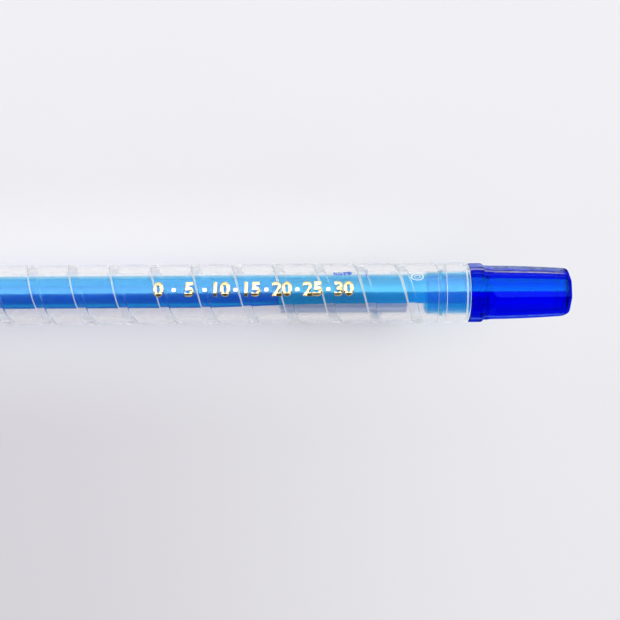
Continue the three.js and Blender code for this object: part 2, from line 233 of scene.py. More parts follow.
def hollow_run(
    x0: float, x1: float, inner: float, outer: float, edge: float, extra: tuple[float, ...] = ()
) -> Array:
    """Gives the closed (x, radius) loop of a wall with rounded corners.

    Args:
        x0: Front end.
        x1: Rear end.
        inner: Inner radius.
        outer: Outer radius.
        edge: How far from a corner its rounding starts.
        extra: More stations between the ends.

    Returns:
        Rows of (x, radius).
    """
    mids = sorted(extra)
    corners = [(x0, inner), (x0, outer)] + [(x, outer) for x in mids]
    corners += [(x1, outer), (x1, inner)] + [(x, inner) for x in reversed(mids)]
    return soften(corners, edge, 3, closed=True)


# Meshes


def new_object(name: str, data: bpy.types.ID) -> Object:
    """Makes an object of a mesh, curve, lamp or camera, in the scene."""
    made = bpy.data.objects.new(name, data)
    bpy.context.collection.objects.link(made)
    return made


@dataclass
class Skin:
    """Collects grids of points into one mesh, and writes it in metres on the marker's axis."""

    lift: float = AXIS_HEIGHT
    points: list[Array] = field(default_factory=list)
    quads: list[Array] = field(default_factory=list)
    count: int = 0

    def add(self, grid: Array, round_cols: bool = True, round_rows: bool = False) -> "Skin":
        """Adds a grid of points, joined along its rows and columns.

        Args:
            grid: Points by row and column.
            round_cols: Whether the last column joins the first.
            round_rows: Whether the last row joins the first.

        Returns:
            This skin.
        """
        rows, cols = grid.shape[:2]
        index = np.arange(rows * cols).reshape(rows, cols) + self.count
        if round_cols:
            index = np.concatenate([index, index[:, :1]], axis=1)
        if round_rows:
            index = np.concatenate([index, index[:1]], axis=0)
        quads = np.stack([index[:-1, :-1], index[1:, :-1], index[1:, 1:], index[:-1, 1:]], axis=-1)
        self.points.append(grid.reshape(-1, 3))
        self.quads.append(quads.reshape(-1, 4))
        self.count += rows * cols
        return self

    def turned(
        self, corners: list[Row], reach: float, closed: bool = False, facets: Facets | None = None
    ) -> "Skin":
        """Adds a profile with its corners rounded, carried round the axis."""
        return self.add(around(soften(corners, reach, closed=closed), facets), round_rows=closed)

    @staticmethod
    def _closed(mesh: Mesh) -> None:
        """Merges doubled points, which closes seams and poles, and turns the faces outwards."""
        work = bmesh.new()
        work.from_mesh(mesh)
        bmesh.ops.remove_doubles(work, verts=work.verts, dist=WELD)
        bmesh.ops.dissolve_degenerate(work, dist=WELD, edges=work.edges)
        bmesh.ops.recalc_face_normals(work, faces=work.faces)
        work.to_mesh(mesh)
        work.free()

    def piece(self, name: str, material: Material, sharp: float = 32.0) -> Object:
        """Makes the mesh object.

        Args:
            name: The piece's name.
            material: Its material.
            sharp: Edges bent by more degrees than this stay sharp.

        Returns:
            The object, at the origin.
        """
        points = (np.concatenate(self.points) + np.array([0.0, 0.0, self.lift])) * MM
        quads = np.concatenate(self.quads)
        mesh = bpy.data.meshes.new(name)
        mesh.vertices.add(len(points))
        mesh.vertices.foreach_set("co", points.ravel())
        mesh.loops.add(quads.size)
        mesh.loops.foreach_set("vertex_index", quads.ravel())
        mesh.polygons.add(len(quads))
        mesh.polygons.foreach_set("loop_start", np.arange(0, quads.size, 4))
        mesh.update(calc_edges=True)
        self._closed(mesh)
        mesh.polygons.foreach_set("use_smooth", np.ones(len(mesh.polygons), dtype=bool))
        mesh.set_sharp_from_angle(angle=math.radians(sharp))
        mesh.materials.append(material)
        return new_object(name, mesh)


def install(piece: Object, body: Body, node: str | None = None) -> None:
    """Puts a finished piece on its body, and reports it.

    Args:
        piece: The piece.
        body: The body that it moves with.
        node: The CAD node that it stands for.
    """
    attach(piece, body.value)
    if node is not None:
        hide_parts(node)
    log.info("%s: %d faces on %s", piece.name, len(piece.data.polygons), body.value)


def span_of(node: str) -> Pair:
    """Gives where a CAD node starts and ends along X, in millimetres."""
    low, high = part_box(node)
    return low[0] / MM, high[0] / MM


# Finishes


def add_node(tree: NodeTree, kind: str, inputs: dict[str | int, object], **settings: object) -> Node:
    """Adds a shader node with its settings and links.

    Args:
        tree: The node tree.
        kind: The node's type, without ShaderNode in front.
        inputs: By name or number, values to set and sockets to link. A node stands for its first output.
        **settings: Properties of the node.

    Returns:
        The node.
    """
    made = tree.nodes.new("ShaderNode" + kind)
    for key, value in settings.items():
        setattr(made, key, value)
    for key, value in inputs.items():
        if isinstance(value, Node):
            value = value.outputs[0]
        if isinstance(value, NodeSocket):
            tree.links.new(value, made.inputs[key])
        else:
            made.inputs[key].default_value = value
    return made


def new_tree(name: str) -> tuple[Material, NodeTree]:
    """Makes a material with an empty node tree.

    Args:
        name: The material's name.

    Returns:
        The material and its tree.
    """
    material = bpy.data.materials.new(name)
    material.use_nodes = True
    material.node_tree.nodes.clear()
    return material, material.node_tree


def parts_of(tree: NodeTree, space: str) -> Node:
    """Adds X, Y and Z of a texture coordinate, such as Object or Normal."""
    place = add_node(tree, "TexCoord", {})
    return add_node(tree, "SeparateXYZ", {0: place.outputs[space]})


def moulded_noise(tree: NodeTree, size_mm: float, stretch: float, detail: float = 2.0) -> Node:
    """Adds a noise whose grains are drawn out along X, as plastic flows in the mould.

    Args:
        tree: The node tree.
        size_mm: Size of a grain across the flow.
        stretch: How many times longer a grain is along X.
        detail: Octaves of the noise.

    Returns:
        The noise, from 0 to 1.
    """
    place = add_node(tree, "TexCoord", {})
    scale = (1.0 / stretch, 1.0, 1.0)
    drawn = add_node(tree, "Mapping", {"Vector": place.outputs["Object"], "Scale": scale})
    inputs = {"Vector": drawn, "Scale": 1.0 / (size_mm * MM), "Detail": detail, "Roughness": 0.5}
    return add_node(tree, "TexNoise", inputs)


def ranged(tree: NodeTree, noise: Node, low: float, high: float) -> Node:
    """Spreads a noise, which lies mostly between 0.3 and 0.7, over the range from low to high."""
    inputs = {"Value": noise, "From Min": 0.3, "From Max": 0.7, "To Min": low, "To Max": high}
    return add_node(tree, "MapRange", inputs)


def flow_bump(tree: NodeTree, size_mm: float, height_mm: float) -> Node:
    """Adds the faint ripples, of a size and height, that plastic keeps from its flow into the mould."""
    flow = moulded_noise(tree, size_mm, 6.0)
    return add_node(tree, "Bump", {"Height": flow, "Strength": 0.3, "Distance": height_mm * MM})


def layered(tree: NodeTree, layers: list[tuple[Source, Colour | None, Colour | None]]) -> NodeSocket:
    """Lays colours over one another.

    Args:
        tree: The node tree.
        layers: Shares with the colours where they are 0 and 1. None stands for the colour made so far.

    Returns:
        The last colour.
    """
    made = None
    for share, without, full in layers:
        inputs = {0: share, 6: made if without is None else without, 7: made if full is None else full}
        made = add_node(tree, "Mix", inputs, data_type="RGBA").outputs[2]
    return made


def lit_through(tree: NodeTree, glass: Node, lamp_tint: str) -> Node:
    """Lets lamps and matt surfaces' light pass a clear plastic straight, so that what it covers is lit.

    Args:
        tree: The node tree.
        glass: The shader that all other rays meet.
        lamp_tint: Colour that white light has after one surface.

    Returns:
        The shader for all rays.
    """
    straight = add_node(tree, "BsdfTransparent", {"Color": linear(lamp_tint)})
    path = add_node(tree, "LightPath", {})
    bounced = add_node(tree, "MixShader", {0: path.outputs["Is Diffuse Ray"], 1: glass, 2: straight})
    return add_node(tree, "MixShader", {0: path.outputs["Is Shadow Ray"], 1: bounced, 2: straight})


@dataclass(frozen=True)
class ClearPlastic:
    """Transparent moulded plastic, undyed or with a light dye near its surface.

    Where the piece's matt attribute is 1, and on walls across the axis behind matt_rear, the mould is
    unpolished, so the plastic scatters some light. Where the bore attribute is 1, the core is dull, which
    blurs what lies behind it.
    """

    name: str
    index: float
    roughness: Pair
    flow_mm: float
    flow_height: float
    lamp_tint: str
    gloss_grain: float = 0.6
    gloss_stretch: float = 3.0
    shine_tint: str = "#FFFFFF"
    colour: str = "#FFFFFF"
    haze: float = 0.0
    matt_walls: float = 0.0
    matt_roughness: float = 0.3
    matt_rear: float = 50.0
    matt_slope: Pair = (0.6, 0.9)
    bore_roughness: float = 0.0

    def wall_share(self, tree: NodeTree) -> Node:
        """Adds how much of a matt wall each point is, from 0 to 1.

        Args:
            tree: The node tree.

        Returns:
            The share.
        """
        facing = add_node(tree, "Math", {0: parts_of(tree, "Normal")}, operation="ABSOLUTE")
        place = {0: parts_of(tree, "Object"), 1: self.matt_rear * MM}
        rear = add_node(tree, "Math", place, operation="GREATER_THAN")
        behind = add_node(tree, "Math", {0: facing, 1: rear}, operation="MULTIPLY")
        low, high = self.matt_slope
        steep = add_node(tree, "MapRange", {"Value": behind, "From Min": low, "From Max": high})
        marked = add_node(tree, "Attribute", {}, attribute_name="matt").outputs["Fac"]
        return add_node(tree, "Math", {0: marked, 1: steep}, operation="MAXIMUM")

    def material(self) -> Material:
        """Makes the material.

        Returns:
            A glass-like shader that lets lamps through.
        """
        material, tree = new_tree(self.name)
        grains = moulded_noise(tree, self.flow_mm * self.gloss_grain, self.gloss_stretch)
        gloss = ranged(tree, grains, *self.roughness)
        clear = 1.0 - self.haze
        if self.matt_walls > 0:
            wall = self.wall_share(tree)
            bore = add_node(tree, "Attribute", {}, attribute_name="bore").outputs["Fac"]
            rough = {0: bore, 1: self.bore_roughness, 2: gloss}
            dull = add_node(tree, "Math", rough, operation="MULTIPLY_ADD")
            rough = {0: wall, 1: self.matt_roughness, 2: dull}
            gloss = add_node(tree, "Math", rough, operation="MULTIPLY_ADD")
            passing = {"Value": wall, "To Min": clear, "To Max": clear - self.matt_walls}
            clear = add_node(tree, "MapRange", passing)
        inputs = {
            "Base Color": linear(self.colour),
            "Roughness": gloss,
            "IOR": self.index,
            "Transmission Weight": clear,
            "Specular Tint": linear(self.shine_tint),
            "Normal": flow_bump(tree, self.flow_mm, self.flow_height),
        }
        glass = add_node(tree, "BsdfPrincipled", inputs)
        add_node(tree, "OutputMaterial", {"Surface": lit_through(tree, glass, self.lamp_tint)})
        return material


@dataclass(frozen=True)
class DyedAcrylic:
    """Acrylic with a strong blue dye, injection moulded in a polished mould.

    The tint is what white light has left after depth_mm. Light fades as exp(-s d), so each channel's s is
    minus the tint's logarithm over the depth. Part of the shine is painted reflection: a gloss that follows
    the round and reflects the room, its colour and share painted in stripes along the piece by how far the
    surface faces the far side, each stop (sideways part of the way out, colour, share).
    """

    name: str = "blue_acrylic_moulded"
    index: float = 1.55
    body: str = "#3058FF"
    tint: str = "#1020F4"
    lamp_tint: str = "#F0F0F0"
    depth_mm: float = 1.7
    roughness: Pair = (0.01, 0.05)
    shine_roughness: float = 0.03
    face_on_share: float = 0.07
    glancing: Pair = (0.12, 0.3)
    ripple: Pair = (0.45, 1.35)
    ripple_mm: float = 0.5
    grain_mm: float = 0.7
    stretch: float = 3.0
    flow_mm: float = 1.2
    flow_height: float = 0.008
    # Painted reflection: stops of colour and share laid on the gloss by facing towards the far side, faded
    # out near the rear end along X
    painted_reflection_end: Pair = (72.6, 73.3)
    painted_reflection_stops: tuple[tuple[float, str, float], ...] = (
        (-0.915, "#7C98F0", 0.0),
        (-0.895, "#80C0FF", 0.24),
        (-0.865, "#80C0FF", 0.24),
        (-0.835, "#7C98F0", 0.0),
        (-0.03, "#04E0A8", 0.0),
        (0.0, "#04F0A8", 0.05),
        (0.3, "#04D8B8", 0.033),
        (0.44, "#04C8E0", 0.04),
        (0.49, "#20C8FF", 0.07),
        (0.52, "#04C8FF", 0.0),
        (0.74, "#C8C0E8", 0.03),
        (0.762, "#FFFFFF", 0.4),
        (0.785, "#FFFFFF", 0.4),
        (0.815, "#C4D0FF", 0.1),
        (0.88, "#C8DCFF", 0.34),
        (0.96, "#C8DCFF", 0.5),
        (0.985, "#8088C0", 0.4),
    )

    def outward(self, tree: NodeTree) -> Node:
        """Adds the unit vector away from the axis, in the room's frame.

        Args:
            tree: The node tree.

        Returns:
            The unit vector.
        """
        place = add_node(tree, "TexCoord", {}).outputs["Object"]
        axis = (0.0, 0.0, AXIS_HEIGHT * MM)
        off = add_node(tree, "VectorMath", {0: place, 1: axis}, operation="SUBTRACT")
        flat = add_node(tree, "VectorMath", {0: off, 1: (0.0, 1.0, 1.0)}, operation="MULTIPLY")
        unit = add_node(tree, "VectorMath", {0: flat}, operation="NORMALIZE")
        spaces = {"vector_type": "NORMAL", "convert_from": "OBJECT", "convert_to": "WORLD"}
        return add_node(tree, "VectorTransform", {0: unit}, **spaces)

    def painted_reflection_bands(self, tree: NodeTree, outward: Node) -> tuple[Node, Node]:
        """Adds the painted reflection's stripes, which fade out at the piece's end, are capped face-on and
        rippled at a glance.

        Args:
            tree: The node tree.
            outward: The unit vector away from the axis.

        Returns:
            The colour ramp and the share of the shine.
        """
        parts = add_node(tree, "SeparateXYZ", {0: outward})
        sideways = add_node(tree, "MapRange", {"Value": parts.outputs[1], "From Min": -1.0, "From Max": 1.0})
        ramp = add_node(tree, "ValToRGB", {0: sideways})
        stops = ramp.color_ramp.elements
        # Each stop paints the reflection's colour and share at one facing towards the far side, such as the
        # white streak and the green tint
        for number, (side, colour, share) in enumerate(self.painted_reflection_stops):
            stop = stops[number] if number < 2 else stops.new((side + 1) / 2)
            stop.position = (side + 1) / 2
            stop.color = (*linear(colour)[:3], share)
        start, end = self.painted_reflection_end
        fade = {"From Min": start * MM, "From Max": end * MM, "To Min": 1.0, "To Max": 0.0}
        along = add_node(tree, "MapRange", {"Value": parts_of(tree, "Object")} | fade)
        plain = add_node(tree, "Math", {0: ramp.outputs[1], 1: along}, operation="MULTIPLY")
        ripple = ranged(tree, moulded_noise(tree, self.ripple_mm, self.stretch), *self.ripple)
        full = add_node(tree, "Math", {0: plain, 1: ripple}, operation="MULTIPLY")
        capped = add_node(tree, "Math", {0: plain, 1: self.face_on_share}, operation="MINIMUM")
        glance = add_node(tree, "LayerWeight", {"Blend": 0.5, "Normal": outward}).outputs["Facing"]
        low, high = self.glancing
        steep = add_node(tree, "MapRange", {"Value": glance, "From Min": low, "From Max": high})
        return ramp, add_node(tree, "Mix", {0: steep, 2: capped, 3: full})

    def material(self) -> Material:
        """Makes the material.

        Returns:
            A glass shader with absorption inside, and over it a painted reflection that follows the round.
        """
        material, tree = new_tree(self.name)
        grains = moulded_noise(tree, self.grain_mm, self.stretch)
        inputs = {
            "Color": linear(self.body),
            "Roughness": ranged(tree, grains, *self.roughness),
            "IOR": self.index,
            "Normal": flow_bump(tree, self.flow_mm, self.flow_height),
        }
        glass = add_node(tree, "BsdfGlass", inputs)
        outward = self.outward(tree)
        ramp, share = self.painted_reflection_bands(tree, outward)
        # Painted reflection: a gloss on the round normal, coloured and weighted by the painted stripes
        inputs = {"Color": ramp, "Roughness": self.shine_roughness, "Normal": outward}
        painted_reflection_layer = add_node(tree, "BsdfGlossy", inputs)
        both = add_node(tree, "MixShader", {0: share, 1: glass, 2: painted_reflection_layer})
        passed = np.maximum(np.array(linear(self.tint)[:3]), 1e-3)
        fading = -np.log(passed) / (self.depth_mm * MM)
        density = float(fading.max())
        colour = (*(1 - fading / density).tolist(), 1.0)
        dye = add_node(tree, "VolumeAbsorption", {"Color": colour, "Density": density})
        surface = lit_through(tree, both, self.lamp_tint)
        add_node(tree, "OutputMaterial", {"Surface": surface, "Volume": dye})
        return material


@dataclass(frozen=True)
class GrainedSolid:
    """A solid whose tone, gloss and relief follow fine grains, and its tone drawn streaks too.

    Relief is the bump's strength and its height in millimetres.
    """

    name: str
    colours: tuple[str, str]
    grain_mm: float
    roughness: Pair
    relief: Pair
    stretch: float = 1.0
    detail: float = 4.0
    streak_share: float = 0.0
    streak_mm: float = 0.35
    streak_stretch: float = 12.0
    metallic: float = 0.0
    transmission: float = 0.0
    index: float = 1.5

    def material(self) -> Material:
        """Makes the material.

        Returns:
            A shader with two tones, two degrees of gloss and a relief.
        """
        material, tree = new_tree(self.name)
        grains = moulded_noise(tree, self.grain_mm, self.stretch, self.detail)
        tone = ranged(tree, grains, 0.0, 1.0 - self.streak_share)
        if self.streak_share > 0:
            streaks = moulded_noise(tree, self.streak_mm, self.streak_stretch)
            streaks = ranged(tree, streaks, 0.0, self.streak_share)
            tone = add_node(tree, "Math", {0: streaks, 1: tone}, operation="ADD")
        strength, height = self.relief
        bump = add_node(tree, "Bump", {"Height": grains, "Strength": strength, "Distance": height * MM})
        inputs = {
            "Base Color": layered(tree, [(tone, *map(linear, self.colours))]),
            "Metallic": self.metallic,
            "Roughness": ranged(tree, grains, *self.roughness),
            "IOR": self.index,
            "Transmission Weight": self.transmission,
            "Normal": bump,
        }
        add_node(tree, "OutputMaterial", {"Surface": add_node(tree, "BsdfPrincipled", inputs)})
        return material


@dataclass(frozen=True)
class WhiteTable:
    """Painted table top, sprayed white: an even, very light satin tone, faintly clouded.

    A little painted light is laid on beside the object on the far side, and a little painted shade on the
    near side. Spans run from none to full.
    """

    name: str = "white_table_sprayed"
    cloud_mm: float = 30.0
    tones: tuple[str, str] = ("#F1F1F5", "#F0F0F4")
    # Painted light: the lighter tone laid close beside the object on the far side
    painted_light: str = "#FDFDFE"
    painted_light_y: float = 6
    painted_light_reach: float = 15
    painted_light_x: Pair = (60, 36)
    # Painted shade: the darker tone laid on the near side, deepest towards -X
    dull: str = "#D9D7DD"
    painted_shade_y: Pair = (4, -26)
    painted_shade_x: Pair = (85, -30)
    painted_shade_least: float = 0.12

    def zone(
        self, tree: NodeTree, place: Source, span: Pair, least: float = 0.0, steps: str = "SMOOTHSTEP"
    ) -> Node:
        """Adds a share that rises from least to 1 over a span in millimetres."""
        inputs = {"Value": place, "From Min": span[0] * MM, "From Max": span[1] * MM, "To Min": least}
        return add_node(tree, "MapRange", inputs, interpolation_type=steps)

    def material(self) -> Material:
        """Makes the material.

        Returns:
            A light satin paint, clouded over cloud_mm, with painted light beside the object and painted
            shade on the near side.
        """
        material, tree = new_tree(self.name)
        clouds = ranged(tree, moulded_noise(tree, self.cloud_mm, 1.0, 3.0), 0.0, 1.0)
        x, y, _ = parts_of(tree, "Object").outputs
        # Painted light: lighter close beside the object on the far side, over its middle length
        aside = add_node(tree, "Math", {0: y, 1: self.painted_light_y * MM}, operation="SUBTRACT")
        away = add_node(tree, "Math", {0: aside}, operation="ABSOLUTE")
        along = add_node(tree, "Math", {0: x}, operation="ABSOLUTE")
        near = self.zone(tree, away, (self.painted_light_reach, 0.0))
        beside = self.zone(tree, along, self.painted_light_x, steps="LINEAR")
        painted_light = add_node(tree, "Math", {0: near, 1: beside}, operation="MULTIPLY")
        # Painted shade: darker on the near side of the object, and darker still towards -X
        front = self.zone(tree, x, self.painted_shade_x, self.painted_shade_least)
        dull = add_node(tree, "Math", {0: self.zone(tree, y, self.painted_shade_y), 1: front}, operation="MULTIPLY")
        layers = [
            (clouds, *map(linear, self.tones)),
            (painted_light, None, linear(self.painted_light)),
            (dull, None, linear(self.dull)),
        ]
        inputs = {"Base Color": layered(tree, layers), "Roughness": 0.6, "Specular IOR Level": 0.2}
        add_node(tree, "OutputMaterial", {"Surface": add_node(tree, "BsdfPrincipled", inputs)})
        return material


# Crystal polystyrene, injection moulded and polished: hard bright edges, clear as glass
BARREL_FINISH = ClearPlastic(
    name="clear_polystyrene_moulded",
    index=1.53,
    roughness=(0.0, 0.03),
    flow_mm=1.6,
    flow_height=0.01,
    lamp_tint="#FEFEFE",
    shine_tint="#A8FBFF",
    matt_walls=0.55,
    bore_roughness=0.2,
)
# Polystyrene torn at the mould's gate: clouded and rough, so it shows as milky rings
GATE_FINISH = ClearPlastic(
    name="clouded_polystyrene_gate",
    index=1.53,
    roughness=(0.3, 0.5),
    flow_mm=0.3,
    flow_height=0.01,
    lamp_tint="#FFFFFF",
    haze=0.6,
)
# Dyed polypropylene, injection moulded: clear light blue with a slight haze
TUBE_FINISH = ClearPlastic(
    name="light_blue_polypropylene_moulded",
    index=1.49,
    roughness=(0.05, 0.14),
    flow_mm=0.8,
    flow_height=0.012,
    lamp_tint="#F6FAFD",
    shine_tint="#60F4FF",
    colour="#2CC2F9",
    haze=0.05,
)
# Undyed polypropylene, moulded: milky and slightly waxy, it takes the colour of what lies under it
CARRIER_FINISH = GrainedSolid(
    name="natural_polypropylene_moulded",
    colours=("#C2D2F6", "#B2C6F0"),
    grain_mm=0.7,
    roughness=(0.3, 0.45),
    relief=(0.4, 0.02),
    stretch=4.0,
    detail=2.0,
    transmission=0.5,
    index=1.49,
)
# Water-soluble wax lead, extruded: matt, with fine pigment grains and streaks along the lead
LEAD_FINISH = GrainedSolid(
    name="blue_wax_lead_extruded",
    colours=("#0A3CE2", "#0628B8"),
    grain_mm=0.12,
    roughness=(0.5, 0.7),
    relief=(0.6, 0.03),
    streak_share=0.6,
)
# The same wax broken to crumbs: thin, so it looks paler
CRUMB_FINISH = replace(LEAD_FINISH, name="blue_wax_crumbs_broken", colours=("#2468EC", "#1A50D4"))
# Gold foil, hot stamped on plastic: a thin bright metal that follows the barrel, with slight pitting
FOIL_FINISH = GrainedSolid(
    name="gold_foil_hot_stamped",
    colours=("#F8E6B6", "#ECCF86"),
    grain_mm=0.2,
    roughness=(0.05, 0.14),
    relief=(0.3, 0.01),
    metallic=1.0,
)


# Sub-assemblies


@dataclass(frozen=True)
class Helix:
    """The right-handed helix of the groove: X grows by one pitch with each turn from +Y towards +Z."""

    lug_x: float = 42.35
    pitch: float = 6.75
    slot_angle: float = math.pi

    def x(self, angle: Array) -> Array:
        """Gives where the helix stands along X at an angle."""
        return self.lug_x + self.pitch * (angle - self.slot_angle) / TURN

    def angle(self, x: float) -> float:
        """Gives the angle at which the helix passes a place along X."""
        return (x - self.lug_x) / self.pitch * TURN + self.slot_angle

    def offset(self, x: Array, angle: Array) -> Array:
        """Gives the distance along X from the nearest turn of the helix."""
        return np.mod(x - self.x(angle) + self.pitch / 2, self.pitch) - self.pitch / 2


@dataclass(frozen=True)
class SnapBead:
    """A ring with sloping sides that snaps into a groove of the barrel."""

    height: float = 0.32
    width: float = 0.8

    def corners(self, x: float, radius: float) -> list[Pair]:
        """Gives the bead's corners at x, on a wall of a radius."""
        sides = ((-1 / 2, 0), (-1 / 6, 1), (1 / 6, 1), (1 / 2, 0))
        return [(x + share * self.width, radius + up * self.height) for share, up in sides]


@dataclass
class ClearBarrel:
    """Clear outer tube with the helical groove, a snap ring groove at each end and a slightly flared rim.

    From wall_reach on, the fields say which parts are matt: walls, the rear one below rear_matt_z, the floor
    beyond side_y with a share of its own, and the rim's step and end.
    """

    helix: Helix = Helix()
    radius: float = 5.0
    rim_flare: float = 0.08
    rim_flare_length: float = 6.0
    rim_step: float = 0.12
    rim_step_inset: float = 0.72
    rim_step_run: float = 0.22
    edge: float = 0.25
    rounding: float = 0.12
    bore: float = 3.65
    bore_chamfer: float = 0.3
    rear_chamfer: float = 0.8
    groove_half_width: float = 0.75
    groove_depth: float = 0.75
    groove_front_x: float = -39.0
    front_wall: float = 0.22
    rear_wall: float = 0.04
    strip_gaps: tuple[float, float, float] = (1.4, 2.0, 1.6)
    snap_inset: float = 4.5
    nose_snap_inset: float = 3.0
    snap_half_width: float = 0.7
    snap_depth: float = 0.5
    wall_reach: Pair = (0.52, 0.6)
    rear_matt_z: float = 2.8
    side_y: float = 3.3
    side_share: float = 0.35
    bore_margin: float = 0.02
    snap_margin: float = 0.9
    step_skin: float = 0.06
    step_reach: float = 0.16
    end_skin: float = 0.3
    end_reach: float = 0.14

    def groove(self, x: Array, angle: Array) -> Array:
        """Gives the groove's depth under the bore.

        It is full between two walls, each a smooth step, and fades out over the last half pitch in front.

        Args:
            x: Places along X.
            angle: Angles about the axis.

        Returns:
            Depths in millimetres.
        """
        offset = self.helix.offset(x, angle)
        half, front_run, rear_run = self.groove_half_width, self.front_wall / 2, self.rear_wall / 2
        front = smoothstep(-half - front_run, -half + front_run, offset)
        rear = 1 - smoothstep(half - rear_run, half + rear_run, offset)
        fade = smoothstep(self.groove_front_x, self.groove_front_x + self.helix.pitch / 2, x)
        return self.groove_depth * front * rear * fade

    def threaded_bore(self, front_x: float, rear_x: float) -> Array:
        """Gives the grooved part of the bore as one strip wound along the helix.

        Row k lies o_k from the groove's middle and column j at angle a_j, so x = helix(a_j) + o_k, kept
        within the two ends. The last row lies on the next turn's first. Floor and land keep strip_gaps half
        runs from the middles of the walls.

        Args:
            front_x: Front end of the grooved part.
            rear_x: Rear end of it.

        Returns:
            Points by row and column.
        """
        half, front_run, rear_run = self.groove_half_width, self.front_wall / 2, self.rear_wall / 2
        pitch, step = self.helix.pitch, TURN / SIDES
        front_wall = -half + front_run * np.linspace(-1, 1, 7)
        floor_gap, rear_gap, land_gap = self.strip_gaps
        floor = np.linspace(-half + floor_gap * front_run, half - rear_gap * rear_run, 4)
        rear_wall = half + rear_run * np.linspace(-1, 1, 5)
        land = np.linspace(half + rear_gap * rear_run, pitch - half - land_gap * front_run, 8)
        offsets = np.concatenate([front_wall, floor, rear_wall, land, [front_wall[0] + pitch]])
        first = math.floor(self.helix.angle(front_x - pitch) / step)
        last = math.ceil(self.helix.angle(rear_x + pitch) / step)
        angles = np.arange(first, last + 1)[None] * step
        x = np.clip(self.helix.x(angles) + offsets[:, None], front_x, rear_x)
        return about_axis(x, self.bore + self.groove(x, angles), angles)

    def mark_walls(self, mesh: Mesh) -> None:
        """Writes the matt attribute, and the bore attribute, which is 1 within the groove's floor.

        A point is on a wall where it is within the wall's run of half the groove's width from the helix.

        Args:
            mesh: The barrel's mesh.
        """
        rear, half = span_of("barrel")[1], self.groove_half_width
        flat = np.empty(len(mesh.vertices) * 3)
        mesh.vertices.foreach_get("co", flat)
        x, y, z = (flat.reshape(-1, 3) / MM - np.array([0.0, 0.0, AXIS_HEIGHT])).T
        radius, offset = np.hypot(y, z), self.helix.offset(x, np.arctan2(z, y))
        front_reach, rear_reach = self.wall_reach
        front_wall = np.abs(offset + half) < front_reach * self.front_wall
        rear_wall = (np.abs(offset - half) < rear_reach * self.rear_wall) & (z < self.rear_matt_z)
        side_floor = (np.abs(offset) < half) & (np.abs(y) > self.side_y)
        bore = radius < self.bore + self.groove_depth + self.bore_margin
        grooved = bore & (x < rear - self.snap_inset - self.snap_margin)
        from_step = np.abs(x - rear + self.rim_step_inset - self.rim_step_run / 2)
        step = (radius > self.radius - self.step_skin) & (from_step < self.step_reach)
        end_rim = (radius > self.radius - self.end_skin) & (x > rear - self.end_reach)
        walls = np.maximum(front_wall | rear_wall, self.side_share * side_floor)
        for name, share in (("matt", np.maximum(walls * grooved, step | end_rim)), ("bore", bore)):
            mesh.attributes.new(name, "FLOAT", "POINT").data.foreach_set("value", share.astype(float))

    def build(self) -> None:
        """Builds and dresses the barrel."""
        front, rear = span_of("barrel")
        rim, low_rim = self.radius + self.rim_flare, self.radius + self.rim_flare - self.rim_step
        edge, half = self.edge, self.snap_half_width
        snap, nose_snap = rear - self.snap_inset, front + self.nose_snap_inset
        bore, deep, mouth = self.bore, self.bore + self.snap_depth, self.bore + self.bore_chamfer
        strip_front, strip_rear = self.groove_front_x - self.helix.pitch / 2, snap - half
        outside = [
            (strip_rear, deep),
            (snap + half, deep),
            (snap + half, bore),
            (rear - self.rear_chamfer, bore),
            (rear, mouth),
            (rear, rim - edge),
            (rear - edge / 2, low_rim),
            (rear - self.rim_step_inset + self.rim_step_run, low_rim),
            (rear - self.rim_step_inset, rim),
            (rear - self.rim_flare_length, self.radius),
            (front + edge, self.radius),
            (front, self.radius - edge),
            (front, mouth),
            (front + self.bore_chamfer, bore),
            (nose_snap - half, bore),
            (nose_snap - half, deep),
            (nose_snap + half, deep),
            (nose_snap + half, bore),
            (strip_front, bore),
        ]
        angles = round_angles()
        ring = about_axis(strip_rear, bore + self.groove(strip_rear, angles), angles)
        skin = Skin()
        skin.add(np.concatenate([ring[None], around(soften(outside, self.rounding))]))
        skin.add(self.threaded_bore(strip_front, strip_rear), round_cols=False)
        made = skin.piece("clear_barrel", BARREL_FINISH.material())
        self.mark_walls(made.data)
        install(made, Body.BARREL, "barrel")


@dataclass
class GateMark:
    """Milky ring that the gate of the mould left in the clear barrel, with a smaller one inside it.

    Each ring is its size as a share of the mark's radii, and the radius of its section.
    """

    x: float = 48.6
    angle: float = math.radians(58.5)
    radii: Pair = (0.95, 0.62)
    surface: float = 5.0
    cover: float = 0.03
    sunk: float = 1.2
    rings: tuple[Pair, ...] = ((1.0, 0.1), (0.48, 0.06))

    def ring(self, share: float, thick: float) -> Array:
        """Gives a ring just under the surface.

        At angle v round its section, the distance from its middle is share + (thick / radius) cos v as a
        share of the radii, and the height is thick (sin v - sunk) from the cover down.

        Args:
            share: Size of the ring as a share of the mark's radii.
            thick: Radius of the ring's section.

        Returns:
            Points by row and column.
        """
        turn = np.linspace(0, TURN, 40, endpoint=False)[:, None]
        section = np.linspace(0, TURN, 12, endpoint=False)[None]
        out = share + thick / self.radii[0] * np.cos(section)
        radius = self.surface - self.cover - thick * (self.sunk - np.sin(section))
        angle = self.angle + self.radii[1] * out * np.sin(turn) / self.surface
        return about_axis(self.x + self.radii[0] * out * np.cos(turn), radius, angle)

    def build(self) -> None:
        """Builds and dresses the mark."""
        skin = Skin()
        for share, thick in self.rings:
            skin.add(self.ring(share, thick), round_rows=True)
        install(skin.piece("gate_mark", GATE_FINISH.material()), Body.BARREL)


